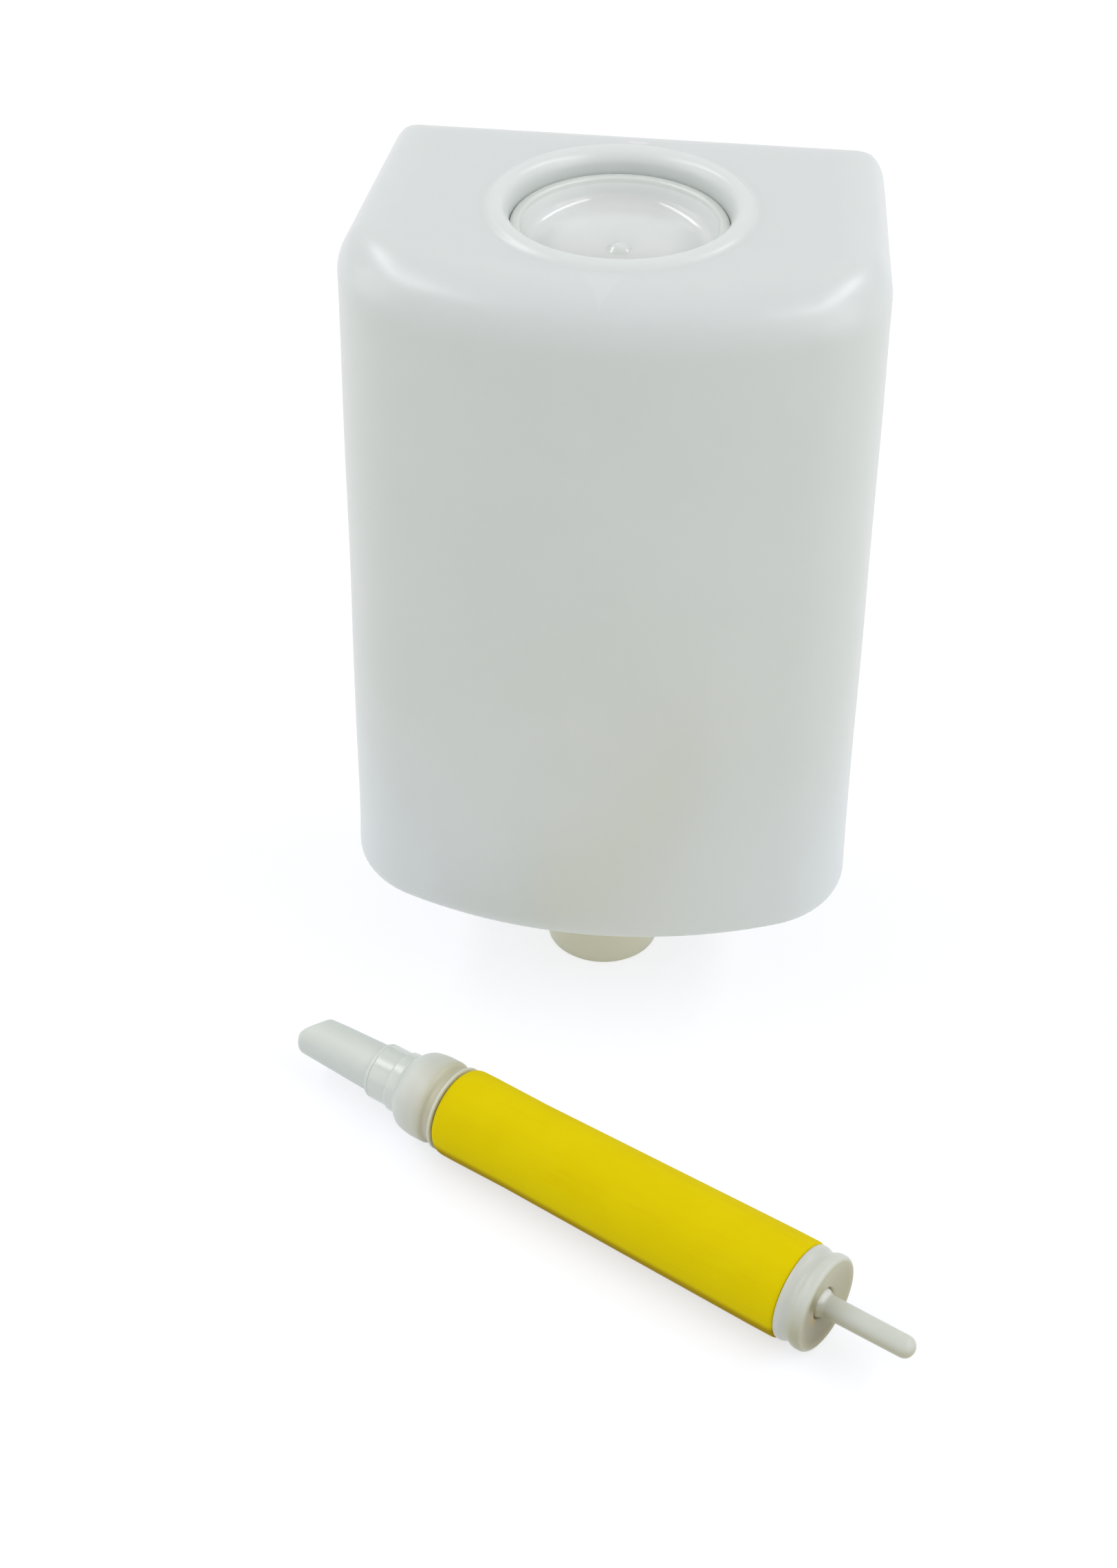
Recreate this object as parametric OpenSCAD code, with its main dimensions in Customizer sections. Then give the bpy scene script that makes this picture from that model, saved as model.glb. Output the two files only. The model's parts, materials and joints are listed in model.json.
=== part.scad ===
// Reservoir bottle of a liquid detergent dispenser, with the squeeze valve that plugs into its neck.
// The bottle stands on its outlet neck and the valve lies on the floor in front of it.
// +Z is up and -Y is the bowed front. The origin is the middle of the neck's mouth, on the floor.
// The valve is drawn along its own axis, with station 0 where the rubber tube meets the inlet spigot.

/* [Bottle] */
// Width of the bottle across its front corners
body_w = 104; // [96:1:130]
// Depth from the flat back to the middle of the bowed front
body_d = 75; // [74:0.5:95]
// Height of the bottle without its neck and filler ring
body_h = 149.5; // [110:0.5:200]
// Width that each side loses towards the back
back_narrowing = 3; // [0:0.25:6]
// How far the front bows out past its corners
front_bow = 15; // [8:0.5:18]
// Radius of the upright front corners
front_corner_r = 21; // [15:0.5:26]
// Radius of the upright back corners
back_corner_r = 3.5; // [2:0.25:8]
// Radius of the edge around the top
top_edge_r = 10; // [5:0.5:11]
// Radius of the edge around the base
base_edge_r = 4; // [3:0.5:8]
// Wall of the moulded shell
shell_wall = 1.6; // [1:0.1:2.4]

/* [Outlet neck] */
// Length of the neck below the base
neck_len = 28; // [22:0.5:36]
// Outer radius of the neck
neck_r = 12.1; // [11.5:0.1:16]
// Wall of the neck
neck_wall = 1.9; // [1.4:0.1:2.6]
// Radius of the sweep from the neck into the base
neck_sweep_r = 2.5; // [1:0.25:4]
// Length of the rubber bush in the neck
bush_len = 14; // [10:0.5:18]
// Depth of the bush's lower face inside the mouth
bush_inset = 0.5; // [0.2:0.1:2]
// Bore of the bush, as a radius
bush_bore_r = 6.2; // [6:0.1:6.8]
// Lead-in at both ends of the bush's bore
bush_lead = 1; // [0.4:0.1:1.6]

/* [Filler mouth] */
// Width of the raised ring around the mouth
ring_w = 4.5; // [3:0.1:5]
// Height of the ring above the top
ring_rise = 1.2; // [0.6:0.1:2.5]
// Radius of the mouth
mouth_r = 20.9; // [18:0.1:21.4]
// Width of the shoulder that carries the lid's rim
shoulder_w = 0.8; // [0.6:0.1:1.4]
// Wall of the collar that hangs below the mouth
collar_wall = 1.6; // [1.2:0.1:2.4]
// Length of the collar below the shoulder
collar_len = 5; // [3:0.5:9]

/* [Filler lid] */
// Drop from the top of the bottle to the lid's rim
lid_drop = 3.2; // [1.6:0.1:5]
// Thickness of the lid's rim
lid_rim_t = 1.2; // [0.8:0.1:2]
// Depth of the lid's cup below its rim
cup_depth = 5.5; // [4:0.1:12]
// Wall of the lid's cup
lid_wall = 1.2; // [0.8:0.1:2]
// Radius of the corner inside the cup
cup_corner_r = 1.6; // [0.6:0.1:3]
// Radius of the knob at the middle of the cup
knob_r = 2.3; // [1.5:0.1:4]
// Height of the knob
knob_h = 1.2; // [0.6:0.1:1.4]
// Width of the air groove in the lid's side
vent_w = 1.5; // [0.8:0.1:3]
// Depth of the air groove
vent_depth = 0.4; // [0.2:0.1:0.6]
// Clearance around the lid in the mouth
lid_gap = 0.1; // [0.05:0.01:0.2]

/* [Valve place] */
// Middle of the rubber tube, to the right of the neck
valve_x = 13.2; // [-20:0.2:40]
// Distance from the bottle's front to the middle of the rubber tube
valve_gap = 54; // [50:0.5:100]
// Turn of the valve to the right-hand front
valve_turn = 29.7; // [0:0.1:45]

/* [Rubber tube] */
// Length of the tube
tube_len = 83; // [60:1:110]
// Outer radius of the tube at the inlet
tube_in_r = 9.4; // [9:0.1:10]
// Outer radius of the tube at the outlet
tube_out_r = 10.1; // [10:0.1:11]
// Wall of the tube
tube_wall = 2.2; // [1.5:0.1:2.3]

/* [Inlet spigot] */
// Length of the tapered tip
tip_len = 19.5; // [14:0.5:28]
// Radius of the tip at its free end
tip_r = 4.5; // [4.3:0.1:4.9]
// Step from the tip's root up to the collar
tip_step = 0.8; // [0.3:0.1:1]
// Rounding of the tip's free end
tip_round = 1.3; // [0.5:0.1:1.6]
// Length that the slanting cut takes off the tip's upper side
tip_cut_len = 3.4; // [3:0.1:8]
// Turn of the slanting cut away from straight up
tip_cut_turn = 44; // [0:1:90]
// Slip of the first collar step in the bush
collar_slip = 0.2; // [0.1:0.05:0.3]
// Length of the first collar step
collar_a_len = 5.5; // [3:0.5:9]
// Squeeze of the second collar step in the bush
collar_squeeze = 0.4; // [0.2:0.05:0.6]
// Length of the second collar step
collar_b_len = 2.8; // [1.5:0.1:5]
// Step from the tube's surface down to the flange
flange_step = 0.4; // [0.2:0.1:1]
// Length from the collar to the tube, with the flange in it
flange_len = 11.2; // [9:0.2:14]
// Step from the tube's surface down to the thin lip that it butts against
lip_step = 0.3; // [0.2:0.1:0.8]
// Length of the spigot's plug inside the tube
in_plug_len = 16; // [12:0.5:22]
// Radius of the passage through the tip
passage_r = 2.6; // [1.5:0.1:2.9]

/* [Inlet ball] */
// Radius of the ball
ball_r = 4.2; // [4:0.05:4.4]
// Travel of the ball from its seat to the cage
ball_travel = 6.5; // [3:0.5:7.5]
// Clearance between the ball and its chamber
ball_room = 0.8; // [0.5:0.1:0.9]
// Length of the cage
cage_len = 3; // [2:0.25:5]
// Width of the cage's bars
cage_bar = 1.4; // [1:0.1:2]
// Rim of the cage
cage_rim = 0.9; // [0.7:0.1:1.2]
// Extra radius of the pocket that the cage is pressed into
cage_step = 0.4; // [0.3:0.1:0.6]

/* [Outlet plug] */
// Length of the plug inside the tube
out_plug_len = 15; // [13:0.5:20]
// Length of the plug outside the tube
head_len = 6.2; // [5.6:0.1:9]
// Step from the tube's surface down to the end flange
end_flange_step = 0.1; // [0.1:0.1:0.6]
// Thickness of the end flange
end_flange_t = 3; // [2:0.1:3.4]
// Depth of the waist between tube and end flange
waist_depth = 0.9; // [0.4:0.1:1.4]
// Depth of the dish in the end face
dish_depth = 1; // [0.4:0.1:1.2]
// Radius of the spring chamber
chamber_r = 4.8; // [4.4:0.1:5.6]
// Thickness of the wall with the orifice
orifice_wall = 3; // [2:0.1:3.6]
// Radius of the orifice
orifice_r = 2.5; // [2.3:0.1:2.7]

/* [Outlet pin] */
// Radius of the pin's stem outside the plug
stem_r = 2.3; // [1.8:0.05:2.5]
// Length of the stem past the end face
stem_len = 19; // [8:0.5:30]
// Radius of the pin's sealing head
head_r = 3.1; // [2.9:0.1:3.4]
// Radius of the pin's shaft inside the plug
shaft_r = 1.6; // [1.3:0.05:1.8]
// Travel of the pin
pin_travel = 2.5; // [1:0.1:2.8]
// Clearance of the shaft in its guide
pin_gap = 0.05; // [0.03:0.01:0.1]
// Thickness of the pin guide
guide_t = 2.5; // [1.5:0.1:3]
// Radius of the three flow holes in the guide
flow_hole_r = 0.9; // [0.5:0.1:1]

/* [Spring] */
// Mean radius of the spring
spring_r = 2.7; // [2.4:0.05:2.9]
// Radius of the spring's wire
wire_r = 0.3; // [0.2:0.05:0.35]
// Number of turns
spring_turns = 5; // [3:1:5]
// Length that the spring keeps in hand past the pin's travel
spring_spare = 0.9; // [0.3:0.1:1]
// Radius of the washer that holds the spring on the pin
washer_r = 3.7; // [3.4:0.1:4]
// Thickness of the washer
washer_t = 1.2; // [0.8:0.1:1.6]

/* [Hidden] */

natural_white = [0.85, 0.87, 0.86];
lid_white = [0.89, 0.90, 0.88];
rubber_grey = [0.55, 0.55, 0.52];
tube_yellow = [0.86, 0.76, 0.03];
spigot_clear = [0.82, 0.85, 0.85];
plug_ivory = [0.88, 0.88, 0.82];
ball_glass = [0.75, 0.80, 0.80];
steel = [0.70, 0.71, 0.73];

round_fn = 72;      // facets of the large rounds
small_fn = 40;      // facets of the small rounds
cut_over = 1;       // how far a cutter runs past what it cuts
edge = 0.3;         // small edge chamfer

// Bottle levels and plan
base_z = neck_len;
top_z = base_z + body_h;
half_w = body_w / 2;
half_d = body_d / 2;
bow_r = (half_w * half_w + front_bow * front_bow) / (2 * front_bow);
bow_centre = [0, bow_r - half_d];
corner_x = half_w - front_corner_r;
corner_centre = [corner_x, bow_centre.y - sqrt(pow(bow_r - front_corner_r, 2) - corner_x * corner_x)];
join_angle = atan2(corner_centre.y - bow_centre.y, corner_x);
sharpest_r = 0.6;   // smallest radius left on an inset back corner

// Neck and mouth
neck_bore_r = neck_r - neck_wall;
seat_r = mouth_r - shoulder_w;
ring_r = mouth_r + ring_w;
shoulder_drop = lid_drop + lid_rim_t;
rim_z = top_z - lid_drop;

// Lid
lid_rim_r = mouth_r - lid_gap;
cup_outer_r = seat_r - lid_gap;
cup_r = cup_outer_r - lid_wall;
knob_ball_r = (knob_r * knob_r + knob_h * knob_h) / (2 * knob_h);
knob_angle = asin(knob_r / knob_ball_r);

// Valve axis: the tube's lowest line lies on the floor
tube_tilt = atan((tube_out_r - tube_in_r) / tube_len);
tube_mid_z = (tube_in_r + tube_out_r) / 2 * cos(tube_tilt);

// Stations along the valve
flange_start = -flange_len;
collar_mid = flange_start - collar_b_len;
collar_start = collar_mid - collar_a_len;
tip_end = collar_start - tip_len;
head_end = tube_len + head_len;
dish_floor = head_end - dish_depth;
orifice_back = dish_floor - orifice_wall;
out_plug_start = tube_len - out_plug_len;
in_plug_r = tube_in_r - tube_wall;
out_plug_r = tube_out_r - tube_wall;

// Inlet spigot
collar_a_r = bush_bore_r - collar_slip;
collar_b_r = bush_bore_r + collar_squeeze;
tip_root_r = collar_a_r - tip_step;
flange_r = tube_in_r - flange_step;
lip_r = tube_in_r - lip_step;

// Inlet ball: it rests on a 45 degree seat
ball_chamber_r = ball_r + ball_room;
seat_start = flange_start - 1;
seat_len = ball_chamber_r - passage_r;
ball_seat_gap = 0.05;
ball_centre = seat_start - passage_r + ball_r * sqrt(2) + ball_seat_gap;
cage_start = ball_centre + ball_r + ball_travel;
cage_r = ball_chamber_r + cage_step;

// Outlet pin: its head closes the orifice from outside
seal_gap = 0.05;
seal_depth = head_r - orifice_r;
shaft_tail = 0.5;
guide_start = orifice_back - guide_t;
spring_len = 2 * wire_r * (spring_turns + 1) + pin_travel + spring_spare;
spring_start = guide_start - spring_len;
washer_start = spring_start - washer_t;
shaft_start = washer_start - shaft_tail;

function arc(centre, r, from, to, steps) =
    [for (i = [0:steps]) let (a = from + (to - from) * i / steps) centre + r * [cos(a), sin(a)]];

// The other half of an outline whose first point lies on the middle line
function mirrored(points) = [for (i = [len(points) - 1:-1:1]) [-points[i].x, points[i].y]];

// Half of the bottle's plan, moved inwards by inset
function half_plan(inset) =
    let (back_r = max(back_corner_r, inset + sharpest_r),
         back_centre = [half_w - back_narrowing - back_r, half_d - back_r])
    concat(arc(bow_centre, bow_r - inset, -90, join_angle, 8),
           arc(corner_centre, front_corner_r - inset, join_angle, 0, 7),
           arc(back_centre, back_r - inset, 0, 90, 3));

// Closed plan outline, moved inwards by inset and lifted to z
function plan_ring(inset, z) =
    [for (p = concat(half_plan(inset), mirrored(half_plan(inset)))) [p.x, p.y, z]];

// Solid through a list of rings that all have as many points
module loft(rings) {
    n = len(rings[0]);
    last = len(rings) - 1;
    polyhedron([for (ring = rings) each ring], concat(
        [[for (k = [0:n - 1]) k]],
        [for (i = [0:last - 1], k = [0:n - 1]) let (m = (k + 1) % n)
            [i * n + k, (i + 1) * n + k, (i + 1) * n + m, i * n + m]],
        [[for (k = [n - 1:-1:0]) last * n + k]]));
}

// The bottle's rounded form, moved inwards on every side by inset
module bottle_form(inset) {
    top_r = top_edge_r - inset;
    base_r = base_edge_r - inset;
    loft(concat(
        [for (a = [90:-22.5:0])
            plan_ring(base_edge_r - base_r * cos(a), base_z + base_edge_r - base_r * sin(a))],
        [for (a = [0:15:90])
            plan_ring(top_edge_r - top_r * cos(a), top_z - top_edge_r + top_r * sin(a))]));
}

module neck_tube() {
    rotate_extrude($fn = round_fn) polygon(concat(
        [[neck_bore_r + edge, 0], [neck_r, 0]],
        arc([neck_r + neck_sweep_r, base_z - neck_sweep_r], neck_sweep_r, 180, 90, 6),
        [[neck_r + neck_sweep_r, base_z + shell_wall],
         [neck_bore_r, base_z + shell_wall],
         [neck_bore_r, edge]]));
}

module mouth_collar() {
    bead_mid = (ring_r + mouth_r) / 2;
    bead_half = (ring_r - mouth_r) / 2;
    collar_r = seat_r + collar_wall;
    translate([0, 0, top_z]) rotate_extrude($fn = round_fn) polygon(concat(
        [[ring_r, -shell_wall]],
        [for (a = [0:15:180]) [bead_mid + bead_half * cos(a), ring_rise * sin(a)]],
        [[mouth_r, -shoulder_drop],
         [seat_r, -shoulder_drop],
         [seat_r, -shoulder_drop - collar_len],
         [collar_r, -shoulder_drop - collar_len],
         [collar_r, -shell_wall]]));
}

module bottle_body() {
    neck_cut_r = neck_r - neck_wall / 2;
    mouth_cut_r = seat_r + collar_wall / 2;
    color(natural_white) union() {
        difference() {
            bottle_form(0);
            bottle_form(shell_wall);
            translate([0, 0, base_z - cut_over])
                cylinder(r = neck_cut_r, h = shell_wall + 2 * cut_over, $fn = round_fn);
            translate([0, 0, top_z - shell_wall - cut_over])
                cylinder(r = mouth_cut_r, h = shell_wall + 2 * cut_over, $fn = round_fn);
        }
        neck_tube();
        mouth_collar();
    }
}

module filler_lid() {
    floor_z = -cup_depth;
    under_z = floor_z - lid_wall;
    outer_corner_r = cup_corner_r + lid_wall;
    color(lid_white) translate([0, 0, rim_z]) difference() {
        rotate_extrude($fn = round_fn) polygon(concat(
            [for (i = [0:4]) let (a = knob_angle * i / 4)
                [knob_ball_r * sin(a), floor_z + knob_h - knob_ball_r + knob_ball_r * cos(a)]],
            arc([cup_r - cup_corner_r, floor_z + cup_corner_r], cup_corner_r, -90, 0, 6),
            [[cup_r, -edge], [cup_r + edge, 0], [lid_rim_r - edge, 0], [lid_rim_r, -edge],
             [lid_rim_r, -lid_rim_t], [cup_outer_r, -lid_rim_t]],
            arc([cup_outer_r - outer_corner_r, under_z + outer_corner_r], outer_corner_r, 0, -90, 6),
            [[0, under_z]]));
        translate([-vent_w / 2, cup_outer_r - vent_depth, under_z - cut_over])
            cube([vent_w, lid_rim_r - cup_outer_r + vent_depth + cut_over, cup_depth + lid_wall + 2 * cut_over]);
    }
}

module neck_bush() {
    color(rubber_grey) translate([0, 0, bush_inset]) rotate_extrude($fn = round_fn) polygon([
        [bush_bore_r + bush_lead, 0], [neck_bore_r, 0], [neck_bore_r, bush_len],
        [bush_bore_r + bush_lead, bush_len], [bush_bore_r, bush_len - bush_lead],
        [bush_bore_r, bush_lead]]);
}

// Puts its children on the valve's axis: their +Z runs from the inlet to the outlet, their -X is up
module on_valve(station = 0) {
    translate([valve_x, -half_d - valve_gap, tube_mid_z])
        rotate([0, 90 - tube_tilt, -valve_turn])
            translate([0, 0, station - tube_len / 2])
                children();
}

module squeeze_tube() {
    color(tube_yellow) on_valve() rotate_extrude($fn = round_fn) polygon([
        [in_plug_r, 0], [tube_in_r - edge, 0], [tube_in_r, edge],
        [tube_out_r, tube_len - edge], [tube_out_r - edge, tube_len], [out_plug_r, tube_len],
        [out_plug_r, out_plug_start], [in_plug_r, in_plug_len]]);
}

module spigot_body() {
    shoulder_r = 2.4;
    groove_w = 1.4;
    lip_w = 1.3;
    barb_depth = 0.5;
    barb_pitch = in_plug_len / 3;
    flange_back = -lip_w - groove_w;
    rotate_extrude($fn = round_fn) polygon(concat(
        [[passage_r, tip_end]],
        arc([tip_r - tip_round, tip_end + tip_round], tip_round, -90, 0, 4),
        [[tip_root_r, collar_start], [collar_a_r - edge, collar_start], [collar_a_r, collar_start + edge],
         [collar_a_r, collar_mid], [collar_b_r - edge, collar_mid], [collar_b_r, collar_mid + edge],
         [collar_b_r, flange_start]],
        arc([flange_r - shoulder_r, flange_start + 2 * shoulder_r], shoulder_r, -75, 0, 5),
        [[flange_r, flange_back], [flange_r - barb_depth, flange_back + barb_depth],
         [flange_r - barb_depth, -lip_w], [lip_r, -lip_w], [lip_r, 0], [in_plug_r, 0]],
        [for (i = [1:2]) each [[in_plug_r, i * barb_pitch],
                               [in_plug_r - barb_depth, i * barb_pitch],
                               [in_plug_r, i * barb_pitch + barb_depth]]],
        [[in_plug_r, in_plug_len - edge], [in_plug_r - edge, in_plug_len], [cage_r, in_plug_len],
         [cage_r, cage_start], [ball_chamber_r, cage_start], [ball_chamber_r, seat_start + seat_len],
         [passage_r, seat_start]]));
}

module inlet_spigot() {
    cut_angle = atan(tip_r / tip_cut_len);
    cut_size = 4 * tip_cut_len;
    color(spigot_clear) on_valve() difference() {
        spigot_body();
        rotate(-tip_cut_turn) translate([0, 0, tip_end])
            rotate([0, -cut_angle, 0]) translate([-cut_size, -cut_size / 2, -cut_size / 2])
                cube(cut_size);
    }
}

module inlet_ball() {
    color(ball_glass) on_valve(ball_centre) sphere(r = ball_r, $fn = small_fn);
}

module ball_cage() {
    color(spigot_clear) on_valve(cage_start) union() {
        difference() {
            cylinder(r = cage_r, h = cage_len, $fn = small_fn);
            translate([0, 0, -cut_over])
                cylinder(r = cage_r - cage_rim, h = cage_len + 2 * cut_over, $fn = small_fn);
        }
        intersection() {
            cylinder(r = cage_r - cage_rim / 2, h = cage_len / 2, $fn = small_fn);
            for (a = [0, 90])
                rotate(a) translate([-cage_r, -cage_bar / 2, 0]) cube([2 * cage_r, cage_bar, cage_len / 2]);
        }
    }
}

module outlet_plug() {
    barb_depth = 0.5;
    barb_pitch = out_plug_len / 3;
    end_flange_r = tube_out_r - end_flange_step;
    end_round = end_flange_t / 2;
    waist_r = end_flange_r - waist_depth;
    flange_mid = head_end - end_round;
    head_step = (head_len - end_flange_t) / 3;
    color(plug_ivory) on_valve() rotate_extrude($fn = round_fn) polygon(concat(
        [[chamber_r, out_plug_start], [out_plug_r - edge, out_plug_start],
         [out_plug_r, out_plug_start + edge]],
        [for (i = [1:2]) each [[out_plug_r, out_plug_start + i * barb_pitch - barb_depth],
                               [out_plug_r - barb_depth, out_plug_start + i * barb_pitch],
                               [out_plug_r, out_plug_start + i * barb_pitch]]],
        [[out_plug_r, tube_len], [end_flange_r, tube_len], [end_flange_r, tube_len + head_step],
         [waist_r, tube_len + 2 * head_step]],
        arc([end_flange_r - end_round, flange_mid], end_round, -60, 90, 8),
        [[orifice_r + seal_depth, dish_floor], [orifice_r, dish_floor - seal_depth],
         [orifice_r, orifice_back], [chamber_r, orifice_back]]));
}

module pin_guide() {
    color(plug_ivory) on_valve(guide_start) difference() {
        cylinder(r = chamber_r, h = guide_t, $fn = small_fn);
        translate([0, 0, -cut_over]) cylinder(r = shaft_r + pin_gap, h = guide_t + 2 * cut_over, $fn = small_fn);
        for (a = [0:120:240])
            rotate(a) translate([(chamber_r + shaft_r) / 2, 0, -cut_over])
                cylinder(r = flow_hole_r, h = guide_t + 2 * cut_over, $fn = small_fn);
    }
}

module outlet_pin() {
    seal_start = dish_floor - seal_depth + seal_gap;
    knuckle_len = 0.8;
    color(plug_ivory) on_valve() rotate_extrude($fn = small_fn) polygon(concat(
        [[0, shaft_start], [shaft_r - edge, shaft_start], [shaft_r, shaft_start + edge],
         [shaft_r, seal_start], [orifice_r, seal_start],
         [head_r, seal_start + seal_depth], [head_r, dish_floor + knuckle_len]],
        arc([stem_r, dish_floor + knuckle_len], head_r - stem_r, 0, 90, 4),
        arc([0, head_end + stem_len - stem_r], stem_r, 0, 90, 6)));
}

// Helix of round wire, as rings joined along the coil
module outlet_spring() {
    sides = 8;
    turn_steps = 18;
    steps = turn_steps * spring_turns;
    rise = spring_len - 2 * wire_r;
    rings = [for (i = [0:steps]) let (turn = 360 * i / turn_steps, z = wire_r + rise * i / steps)
        [for (k = [0:sides - 1]) let (a = -360 * k / sides, r = spring_r + wire_r * cos(a))
            [r * cos(turn), r * sin(turn), z + wire_r * sin(a)]]];
    color(steel) on_valve(spring_start) loft(rings);
}

module spring_washer() {
    color(steel) on_valve(washer_start) difference() {
        cylinder(r = washer_r, h = washer_t, $fn = small_fn);
        translate([0, 0, -cut_over]) cylinder(r = shaft_r, h = washer_t + 2 * cut_over, $fn = small_fn);
    }
}

bottle_body();
filler_lid();
neck_bush();
squeeze_tube();
inlet_spigot();
inlet_ball();
ball_cage();
outlet_plug();
pin_guide();
outlet_pin();
outlet_spring();
spring_washer();
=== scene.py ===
"""Looks of a detergent dispenser bottle and its loose squeeze valve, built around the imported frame.

The bottle stands on its neck, whose mouth is at the origin. The valve's pieces are turned on the
valve's own axis, along which a station of 0 is the rubber tube's end at the inlet. Sizes are in
metres and MM turns millimetres into them; only the outlines of turned pieces are in millimetres.
"""
import json
import math

import bmesh
import bpy
from mathutils import Matrix, Vector, noise


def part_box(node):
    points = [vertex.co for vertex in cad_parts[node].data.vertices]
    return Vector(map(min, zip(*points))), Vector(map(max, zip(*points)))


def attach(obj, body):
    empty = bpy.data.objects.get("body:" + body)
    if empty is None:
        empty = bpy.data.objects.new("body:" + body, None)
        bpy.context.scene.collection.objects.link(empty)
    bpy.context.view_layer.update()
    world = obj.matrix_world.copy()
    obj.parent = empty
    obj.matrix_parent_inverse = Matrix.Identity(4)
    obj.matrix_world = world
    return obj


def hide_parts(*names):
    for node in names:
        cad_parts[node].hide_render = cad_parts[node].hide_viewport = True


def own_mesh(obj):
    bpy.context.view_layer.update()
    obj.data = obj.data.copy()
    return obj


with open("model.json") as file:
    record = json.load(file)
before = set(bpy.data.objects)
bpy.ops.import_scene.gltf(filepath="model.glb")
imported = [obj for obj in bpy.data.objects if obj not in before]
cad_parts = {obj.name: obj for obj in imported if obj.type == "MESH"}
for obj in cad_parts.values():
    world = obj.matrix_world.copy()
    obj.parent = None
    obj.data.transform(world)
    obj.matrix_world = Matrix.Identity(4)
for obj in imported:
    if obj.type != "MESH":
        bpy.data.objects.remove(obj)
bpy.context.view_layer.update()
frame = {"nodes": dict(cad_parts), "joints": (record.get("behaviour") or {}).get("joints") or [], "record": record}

MM = 0.001
FULL_TURN = 2 * math.pi
QUARTER_TURN = math.pi / 2
UP = Vector((0, 0, 1))

# ---------------------------------------------------------------- bottle sizes
BODY_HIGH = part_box("bottle_body")[1]
HALF_W = BODY_HIGH.x
HALF_D = BODY_HIGH.y
NECK_LEN = 28 * MM
BODY_H = 149.5 * MM
BACK_NARROWING = 3 * MM
FRONT_BOW = 15 * MM
FRONT_CORNER_R = 21 * MM
BACK_CORNER_R = 3.5 * MM
SHARPEST_R = 0.6 * MM
TOP_EDGE_R = 10 * MM
BASE_EDGE_R = 4 * MM
WALL = 1.6 * MM
NECK_R = 12.1 * MM
NECK_BORE_R = 10.2 * MM
NECK_SWEEP_R = 2.5 * MM
RING_R = 25.4 * MM
MOUTH_R = 20.9 * MM
SEAT_R = 20.1 * MM
COLLAR_R = 21.7 * MM
COLLAR_LEN = 5 * MM
LID_DROP = 3.2 * MM
LID_RIM_T = 1.2 * MM

BASE_Z = NECK_LEN
TOP_Z = NECK_LEN + BODY_H
RING_RISE = BODY_HIGH.z - TOP_Z
BOW_R = (HALF_W ** 2 + FRONT_BOW ** 2) / (2 * FRONT_BOW)
BOW_Y = BOW_R - HALF_D
CORNER_X = HALF_W - FRONT_CORNER_R
CORNER_Y = BOW_Y - math.sqrt((BOW_R - FRONT_CORNER_R) ** 2 - CORNER_X ** 2)
BOW_TURN = math.atan2(CORNER_X, BOW_Y - CORNER_Y)

# Steps around half of the plan
BOW_STEPS, CORNER_STEPS, SIDE_STEPS, BACK_CORNER_STEPS, BACK_STEPS = 20, 14, 10, 6, 14
PLAN_STEPS = 2 * (BOW_STEPS + CORNER_STEPS + SIDE_STEPS + BACK_CORNER_STEPS + BACK_STEPS)

# ---------------------------------------------------------------- valve sizes, in millimetres
# Stations along the valve, from the cut tip to the pin's end
TIP_END, COLLAR, COLLAR_MID, FLANGE, LIP = -39.0, -19.5, -14.0, -11.2, -0.8
PLUG_START, TUBE_LEN, DISH, HEAD_END, PIN_TIP = 68.0, 83.0, 88.2, 89.2, 108.2
# Where the painted shade of the end face and the pin starts, and where the knuckle's shade ends
FACE_START, KNUCKLE_END = 86.0, DISH + 0.6
# Radii, walls and lengths
TUBE_WALL = 2.2
TIP_R = 4.5
SPIGOT_COLLAR_R = 6.0
FLANGE_R = 9.0
INLET_PLUG_R, INLET_PLUG_LEN = 7.2, 16
OUTLET_PLUG_R = 7.9
BARB_DEPTH = 0.5
CHAMBER_R = 4.8
HEAD_R = 10.0
ORIFICE_R = 2.5
SPRING_LEN, PIN_TRAVEL = 7.0, 2.5

# ---------------------------------------------------------------- mesh limits
SHARP_ANGLE = math.radians(38)
SAME_POINT = 0.002 * MM
SAME_MIRRORED = 0.01 * MM


# ---------------------------------------------------------------- shader tools
class Signal:
    """A node's output that can be used in Python sums."""

    def __init__(self, finish, socket):
        self.finish = finish
        self.socket = socket

    def _sum(self, operation, first, second=0.0):
        return self.finish.node("Math", {"operation": operation}, {0: first, 1: second})

    def __add__(self, other):
        return self._sum("ADD", self, other)

    def __radd__(self, other):
        return self._sum("ADD", other, self)

    def __sub__(self, other):
        return self._sum("SUBTRACT", self, other)

    def __rsub__(self, other):
        return self._sum("SUBTRACT", other, self)

    def __mul__(self, other):
        return self._sum("MULTIPLY", self, other)

    def __truediv__(self, other):
        return self._sum("DIVIDE", self, other)

    def __abs__(self):
        return self._sum("ABSOLUTE", self)

    def above(self, level, width):
        """0 below the level, rising smoothly to 1 over the width."""
        return self.finish.node("MapRange", {"interpolation_type": "SMOOTHSTEP"},
                                {"Value": self, "From Min": level, "From Max": level + width})

    def below(self, level, width):
        """1 below the level, falling smoothly to 0 over the width."""
        return 1 - self.above(level, width)


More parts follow.
